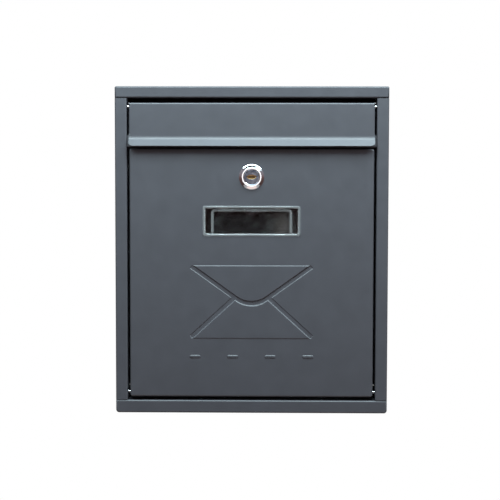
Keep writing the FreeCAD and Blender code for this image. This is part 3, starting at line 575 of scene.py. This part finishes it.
def tint(tree, value, first, second):
    """A colour between two, by the pattern's value. The first may also be another node's output."""
    node = tree.nodes.new("ShaderNodeMix")
    node.data_type = "RGBA"
    if isinstance(first, tuple):
        node.inputs["A"].default_value = (*first, 1)
    else:
        tree.links.new(first, node.inputs["A"])
    node.inputs["B"].default_value = (*second, 1)
    tree.links.new(value, node.inputs["Factor"])
    return node.outputs["Result"]


def bump(tree, shader, layers):
    """Surface relief from (pattern, height in metres) layers, one on another."""
    normal = None
    for pattern, height in layers:
        node = tree.nodes.new("ShaderNodeBump")
        node.inputs["Distance"].default_value = height
        tree.links.new(pattern, node.inputs["Height"])
        if normal:
            tree.links.new(normal, node.inputs["Normal"])
        normal = node.outputs["Normal"]
    tree.links.new(normal, shader.inputs["Normal"])


def powder_coat():
    """Satin anthracite powder coat: fine orange peel, faint mottling in colour and gloss."""
    material, tree, shader = new_material("powder_coat")
    patch = spread(tree, noise(tree, 45, 3), 0, 1)
    colour = tint(tree, patch, (0.050, 0.050, 0.058), (0.056, 0.056, 0.065))
    tree.links.new(colour, shader.inputs["Base Color"])
    gloss = spread(tree, noise(tree, 160, 3), 0.42, 0.50)
    tree.links.new(gloss, shader.inputs["Roughness"])
    bump(tree, shader, [(noise(tree, 700, 2), 0.02 * MM), (noise(tree, 2600, 1), 0.006 * MM)])
    return material


def chrome():
    """Polished plating with faint haze."""
    material, tree, shader = new_material("chrome", Base_Color=(0.86, 0.87, 0.89, 1), Metallic=1.0)
    haze = spread(tree, noise(tree, 900, 3), 0.04, 0.10)
    tree.links.new(haze, shader.inputs["Roughness"])
    bump(tree, shader, [(noise(tree, 500, 1), 0.004 * MM)])
    return material


def plug_metal():
    """The dark, finely turned face of the lock's core, with painted shade that turns it black inside its
    keyhole.
    """
    material, tree, shader = new_material("plug_metal", Metallic=1.0)
    patch = spread(tree, noise(tree, 260, 2), 0, 1)
    face = tint(tree, patch, (0.10, 0.13, 0.19), (0.40, 0.44, 0.50))
    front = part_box("lock_plug")[0].y
    # painted shade: behind the face the colour runs to near black, shade painted into the keyhole by depth
    depth = spread(tree, across(tree, "Y"), 0, 1, front + PAINTED_SHADE_FROM, front + PAINTED_SHADE_TO)
    tree.links.new(tint(tree, depth, face, (0.01, 0.01, 0.012)), shader.inputs["Base Color"])
    tree.links.new(spread(tree, noise(tree, 1400, 3), 0.10, 0.26), shader.inputs["Roughness"])
    bump(tree, shader, [(noise(tree, 1800, 2), 0.006 * MM)])
    return material


def brass():
    """Stamped brass plate, a little dull."""
    material, tree, shader = new_material("brass", Metallic=1.0)
    patch = spread(tree, noise(tree, 1200, 3), 0, 1)
    tree.links.new(tint(tree, patch, (0.72, 0.47, 0.20), (0.86, 0.62, 0.30)), shader.inputs["Base Color"])
    tree.links.new(spread(tree, noise(tree, 2500, 2), 0.22, 0.40), shader.inputs["Roughness"])
    bump(tree, shader, [(noise(tree, 3000, 2), 0.006 * MM)])
    return material


def zinc():
    """Zinc plated steel with a soft crystalline patchiness."""
    material, tree, shader = new_material("zinc", Metallic=1.0)
    patch = spread(tree, noise(tree, 600, 4), 0, 1)
    tree.links.new(tint(tree, patch, (0.50, 0.51, 0.52), (0.66, 0.66, 0.65)), shader.inputs["Base Color"])
    tree.links.new(spread(tree, noise(tree, 1500, 3), 0.28, 0.42), shader.inputs["Roughness"])
    bump(tree, shader, [(noise(tree, 1800, 2), 0.006 * MM)])
    return material


def pin_steel():
    """Bright drawn wire with fine lines along its length."""
    material, tree, shader = new_material("pin_steel", Metallic=1.0)
    lines = noise(tree, 1500, 3, stretch=(0.1, 1, 1))
    tree.links.new(tint(tree, spread(tree, lines, 0, 1), (0.78, 0.78, 0.78), (0.92, 0.92, 0.91)),
                   shader.inputs["Base Color"])
    tree.links.new(spread(tree, lines, 0.22, 0.34), shader.inputs["Roughness"])
    bump(tree, shader, [(lines, 0.006 * MM)])
    return material


def clear_plastic():
    """Clear moulded plastic with slight flow marks, cloudy in the thick rim and ribs before the pane."""
    material, tree, shader = new_material(
        "clear_plastic", Base_Color=(0.93, 0.95, 0.96, 1), IOR=1.49)
    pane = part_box("window_insert")[0].y + PANE_STEP
    clear = spread(tree, across(tree, "Y"), RIM_CLARITY, 1.0, pane - RIB_PROUD, pane)
    tree.links.new(clear, shader.inputs["Transmission Weight"])
    tree.links.new(spread(tree, noise(tree, 90, 2), 0.03, 0.09), shader.inputs["Roughness"])
    flow = noise(tree, 55, 1, stretch=(0.4, 1, 1))
    bump(tree, shader, [(flow, 0.03 * MM), (noise(tree, 260, 2), 0.006 * MM)])

    through = tree.nodes.new("ShaderNodeBsdfTransparent")
    path = tree.nodes.new("ShaderNodeLightPath")
    choose = tree.nodes.new("ShaderNodeMixShader")
    passing = spread(tree, path.outputs["Is Shadow Ray"], 0, LIGHT_PASSED, 0, 1)
    tree.links.new(passing, choose.inputs["Fac"])
    tree.links.new(shader.outputs["BSDF"], choose.inputs[1])
    tree.links.new(through.outputs["BSDF"], choose.inputs[2])
    tree.links.new(choose.outputs["Shader"], tree.nodes["Material Output"].inputs["Surface"])
    return material


# Stage, light and camera -------------------------------------------------------------------


def make_world():
    """White to the camera; for everything else a soft studio, cool and bright above, warm and dim below."""
    world = bpy.data.worlds.new("studio")
    bpy.context.scene.world = world
    world.use_nodes = True
    tree = world.node_tree
    tree.nodes.clear()
    output = tree.nodes.new("ShaderNodeOutputWorld")
    choose = tree.nodes.new("ShaderNodeMixShader")
    path = tree.nodes.new("ShaderNodeLightPath")
    seen = tree.nodes.new("ShaderNodeBackground")
    seen.inputs["Color"].default_value = (1, 1, 1, 1)
    lit = tree.nodes.new("ShaderNodeBackground")
    place = tree.nodes.new("ShaderNodeTexCoord")
    split = tree.nodes.new("ShaderNodeSeparateXYZ")
    ramp = tree.nodes.new("ShaderNodeValToRGB")
    height = tree.nodes.new("ShaderNodeMapRange")
    height.inputs["From Min"].default_value = -1
    tree.links.new(place.outputs["Generated"], split.inputs["Vector"])
    tree.links.new(split.outputs["Z"], height.inputs["Value"])
    tree.links.new(height.outputs["Result"], ramp.inputs["Fac"])
    while len(ramp.color_ramp.elements) < len(SKY):
        ramp.color_ramp.elements.new(0.5)
    for element, (position, colour) in zip(ramp.color_ramp.elements, SKY):
        element.position = position
        element.color = (*colour, 1)
    lit.inputs["Strength"].default_value = SKY_STRENGTH
    tree.links.new(ramp.outputs["Color"], lit.inputs["Color"])
    tree.links.new(path.outputs["Is Camera Ray"], choose.inputs["Fac"])
    tree.links.new(lit.outputs["Background"], choose.inputs[1])
    tree.links.new(seen.outputs["Background"], choose.inputs[2])
    tree.links.new(choose.outputs["Shader"], output.inputs["Surface"])


def area_light(name, place, target, size, power, colour):
    """A rectangular soft box at place, turned to target."""
    lamp = bpy.data.lights.new(name, "AREA")
    lamp.shape = "RECTANGLE"
    lamp.size, lamp.size_y = size
    lamp.energy = power
    lamp.color = colour
    holder = bpy.data.objects.new(name, lamp)
    holder.location = place
    holder.rotation_euler = (Vector(target) - Vector(place)).to_track_quat("-Z", "Y").to_euler()
    holder.visible_camera = False
    bpy.context.scene.collection.objects.link(holder)


def make_floor():
    """A plain pale floor well below the box."""
    mesh = bmesh.new()
    bmesh.ops.create_circle(mesh, cap_ends=True, segments=FLOOR_SEGMENTS, radius=FLOOR_RADIUS)
    data = bpy.data.meshes.new("floor")
    mesh.to_mesh(data)
    mesh.free()
    material, tree, shader = new_material("pale_floor", Roughness=0.6)
    grain = spread(tree, noise(tree, 30, 3), 0, 1)
    tree.links.new(tint(tree, grain, (0.64, 0.57, 0.53), (0.68, 0.61, 0.57)), shader.inputs["Base Color"])
    data.materials.append(material)
    floor = bpy.data.objects.new("floor", data)
    floor.location.z = CAD_BOX[0].z - FLOOR_DROP
    bpy.context.scene.collection.objects.link(floor)


def make_camera():
    """The camera in front of the box, a little above its middle."""
    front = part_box("case_shell")[0].y
    turn, tilt, roll = (math.radians(angle) for angle in CAMERA_TURN)
    rotation = (Matrix.Rotation(turn, 4, "Z") @ Matrix.Rotation(tilt, 4, "X")
                @ Matrix.Rotation(roll, 4, "Y") @ Matrix.Rotation(math.radians(90), 4, "X"))
    camera = bpy.data.cameras.new("camera")
    camera.lens = CAMERA_LENS
    camera.sensor_width = CAMERA_SENSOR
    holder = bpy.data.objects.new("camera", camera)
    place = Vector((CAMERA_SIDE, front - CAMERA_DISTANCE, CAMERA_RISE))
    holder.matrix_world = Matrix.Translation(place) @ rotation
    bpy.context.scene.collection.objects.link(holder)
    bpy.context.scene.camera = holder


# The scene ---------------------------------------------------------------------------------

make_camera()
make_world()
make_floor()
for lamp in LAMPS:
    area_light(*lamp)
bpy.context.scene.view_settings.view_transform = "Standard"

materials = {
    "powder_coat": powder_coat(),
    "chrome": chrome(),
    "brass": brass(),
    "zinc": zinc(),
    "pin_steel": pin_steel(),
    "clear_plastic": clear_plastic(),
}
for entry in frame["record"]["subparts"]:
    node = NODES[entry["node"]]
    node.data.materials.clear()
    node.data.materials.append(materials[entry["material_slot"]])
NODES["lock_plug"].data.materials.clear()
NODES["lock_plug"].data.materials.append(plug_metal())

make_door(materials["powder_coat"])
make_flap(materials["powder_coat"])

for name in ("case_shell", "top_tray", "bottom_tray", "slot_sill"):
    soften(NODES[name], width=CASE_EDGE)
for name in ("lock_housing", "lock_plug", "lock_nut", "lock_washer", "lock_wafers", "cam_stop_disc",
             "lock_cam", "cam_spring_washer", "cam_screw"):
    soften(NODES[name], width=LOCK_EDGE)
for name in NODES:
    if "pin" in name:
        soften(NODES[name], width=PIN_EDGE)
soften(NODES["window_insert"], width=0)
soften(NODES["card_cover"], width=COVER_EDGE, segments=COVER_SEGMENTS)
